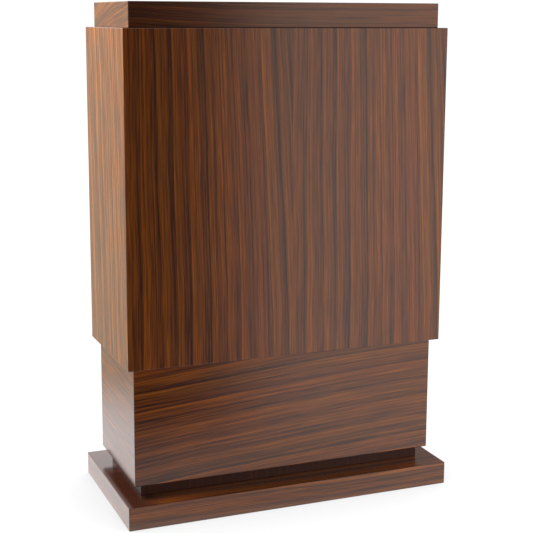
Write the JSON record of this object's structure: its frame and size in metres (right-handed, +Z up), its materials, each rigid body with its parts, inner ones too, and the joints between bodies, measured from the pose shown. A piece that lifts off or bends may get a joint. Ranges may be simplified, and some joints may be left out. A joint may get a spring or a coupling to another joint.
{
  "type": "pulpit",
  "caption": "Free-standing veneered board pulpit: base slab, recessed plinth, pedestal, overhanging body, low cap with sloped reading board, open niche and hinged cupboard doors behind.",
  "frame": {"origin": "middle of the footprint, on the floor under the base slab", "axes": "+Z up, front (congregation's side) faces -Y, speaker's side faces +Y, +X to the right seen from the front"},
  "size_m": [0.758, 0.364, 1.1],
  "materials": {
    "rosewood_veneer": "gloss lacquer over straight-grained dark veneer",
    "plinth_veneer": "satin lacquer over very dark veneer",
    "beech": "planed, unfinished",
    "fibreboard": "sealed board",
    "zinc_steel": "zinc plated",
    "brass": "satin",
    "black_plastic": "fine texture",
    "ferrite": "ground"
  },
  "bodies": {
    "cabinet": {"base_back": "rosewood_veneer", "base_bearers": "beech", "base_bottom": "fibreboard", "base_deck": "rosewood_veneer", "base_front": "rosewood_veneer", "base_left": "rosewood_veneer", "base_right": "rosewood_veneer", "board_cleats": "beech", "body_floor": "rosewood_veneer", "body_front": "rosewood_veneer", "body_left": "rosewood_veneer", "body_right": "rosewood_veneer", "body_screws": "zinc_steel", "body_top": "rosewood_veneer", "cap_back": "rosewood_veneer", "cap_front": "rosewood_veneer", "cap_left": "rosewood_veneer", "cap_right": "rosewood_veneer", "cap_screws": "zinc_steel", "catch_housings": "black_plastic", "catch_magnets": "ferrite", "coach_screws": "zinc_steel", "coach_washers": "zinc_steel", "cupboard_shelf": "rosewood_veneer", "glide_inserts": "zinc_steel", "hinge_frame_leaves": "brass", "hinge_frame_screws": "brass", "hinge_pins": "brass", "mitre_biscuits": "beech", "niche_shelf": "rosewood_veneer", "pedestal_back": "rosewood_veneer", "pedestal_floor": "fibreboard", "pedestal_front": "rosewood_veneer", "pedestal_left": "rosewood_veneer", "pedestal_posts": "beech", "pedestal_right": "rosewood_veneer", "plinth_back": "plinth_veneer", "plinth_blocks": "beech", "plinth_front": "plinth_veneer", "plinth_left": "plinth_veneer", "plinth_right": "plinth_veneer", "reading_board": "rosewood_veneer", "shelf_pins": "zinc_steel"},
    "left_door": {"door_left": "rosewood_veneer", "hinge_leaves_left": "brass", "hinge_screws_left": "brass", "knob_left": "brass", "knob_screw_left": "zinc_steel", "strike_left": "zinc_steel"},
    "right_door": {"door_right": "rosewood_veneer", "hinge_leaves_right": "brass", "hinge_screws_right": "brass", "knob_right": "brass", "knob_screw_right": "zinc_steel", "strike_right": "zinc_steel"},
    "back_left_glide": {"glide_back_left": "zinc_steel"},
    "back_right_glide": {"glide_back_right": "zinc_steel"},
    "front_left_glide": {"glide_front_left": "zinc_steel"},
    "front_right_glide": {"glide_front_right": "zinc_steel"}
  },
  "joints": [
    {"name": "left_door_hinge", "type": "hinge", "parent": "cabinet", "child": "left_door", "pos_m": [-0.35, 0.1585, 0.5645], "axis": [0, 0, 1], "range_deg": [0, 170]},
    {"name": "right_door_hinge", "type": "hinge", "parent": "cabinet", "child": "right_door", "pos_m": [0.35, 0.1585, 0.5645], "axis": [0, 0, -1], "range_deg": [0, 170]},
    {"name": "glide_back_left_travel", "type": "slide", "parent": "cabinet", "child": "back_left_glide", "axis": [0, 0, -1], "range_m": [0, 0.008]},
    {"name": "glide_back_right_travel", "type": "slide", "parent": "cabinet", "child": "back_right_glide", "axis": [0, 0, -1], "range_m": [0, 0.008]},
    {"name": "glide_front_left_travel", "type": "slide", "parent": "cabinet", "child": "front_left_glide", "axis": [0, 0, -1], "range_m": [0, 0.008]},
    {"name": "glide_front_right_travel", "type": "slide", "parent": "cabinet", "child": "front_right_glide", "axis": [0, 0, -1], "range_m": [0, 0.008]}
  ]
}
